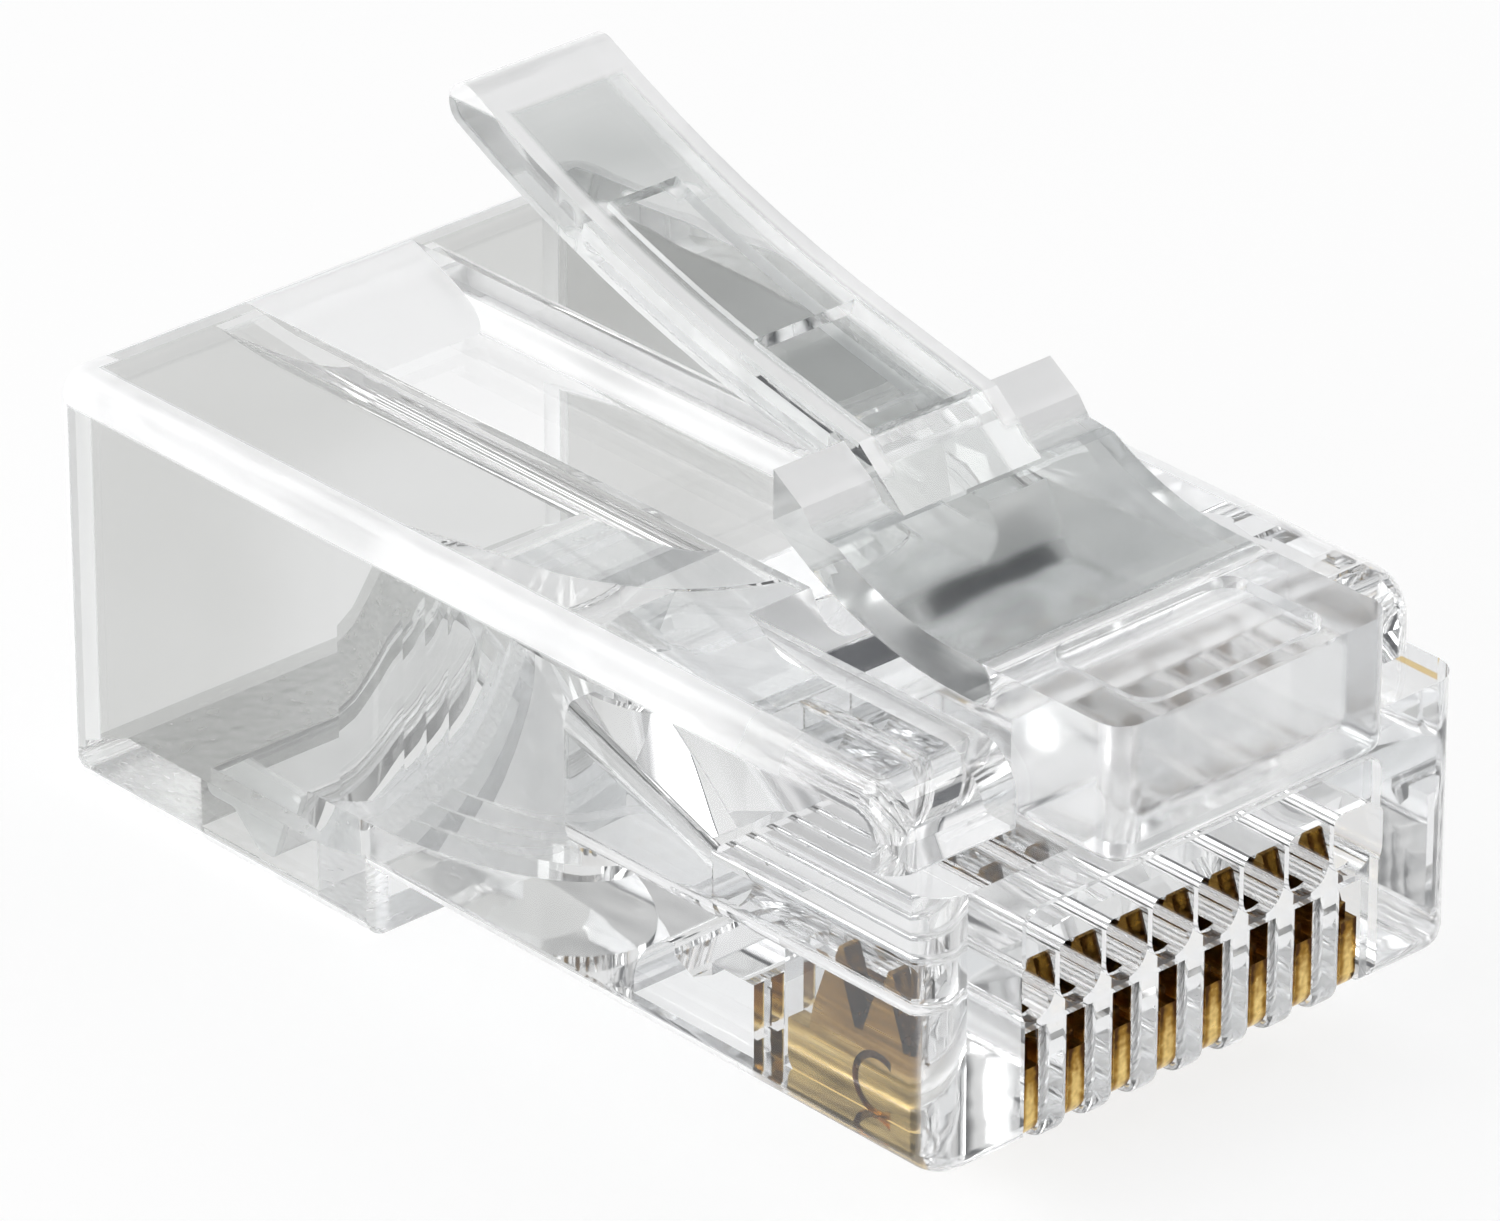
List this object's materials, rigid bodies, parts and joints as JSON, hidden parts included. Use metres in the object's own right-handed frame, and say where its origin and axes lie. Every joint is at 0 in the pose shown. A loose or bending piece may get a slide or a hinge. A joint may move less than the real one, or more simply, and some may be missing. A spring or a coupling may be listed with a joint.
{
  "type": "rj45 modular plug",
  "caption": "Clear modular plug with a sprung latch tab, a fold-up cable clamp bar and gilded contact blades, as it is before a cable is fitted.",
  "frame": {"origin": "centre of the plug's plan, latch root included, at the underside of the deeper cable end", "axes": "+Y from the nose to the cable end, +Z towards the latch, +X across the contacts, so that contact 1 is at the -X end"},
  "size_m": [0.0116, 0.023, 0.0136],
  "materials": {
    "clear_housing": "clear polycarbonate, moulded and polished",
    "clear_latch": "clear polycarbonate, moulded and polished",
    "clear_bar": "clear polycarbonate, moulded and polished",
    "gilded_contact": "gold plate over phosphor bronze"
  },
  "bodies": {
    "housing": {"housing": "clear_housing", "contact_1": "gilded_contact", "contact_2": "gilded_contact", "contact_3": "gilded_contact", "contact_4": "gilded_contact", "contact_5": "gilded_contact", "contact_6": "gilded_contact", "contact_7": "gilded_contact", "contact_8": "gilded_contact"},
    "latch": {"latch": "clear_latch"},
    "clamp_bar": {"cable_clamp_bar": "clear_bar"}
  },
  "joints": [
    {"name": "latch_press", "type": "hinge", "parent": "housing", "child": "latch", "pos_m": [0, -0.0082, 0.00848], "axis": [-1, 0, 0], "range_deg": [0, 22], "stiffness_Nm_per_rad": 0.1},
    {"name": "clamp_bar_fold", "type": "hinge", "parent": "housing", "child": "clamp_bar", "pos_m": [0, 0.00809, 0.00085], "axis": [-1, 0, 0], "range_deg": [0, 40]}
  ]
}
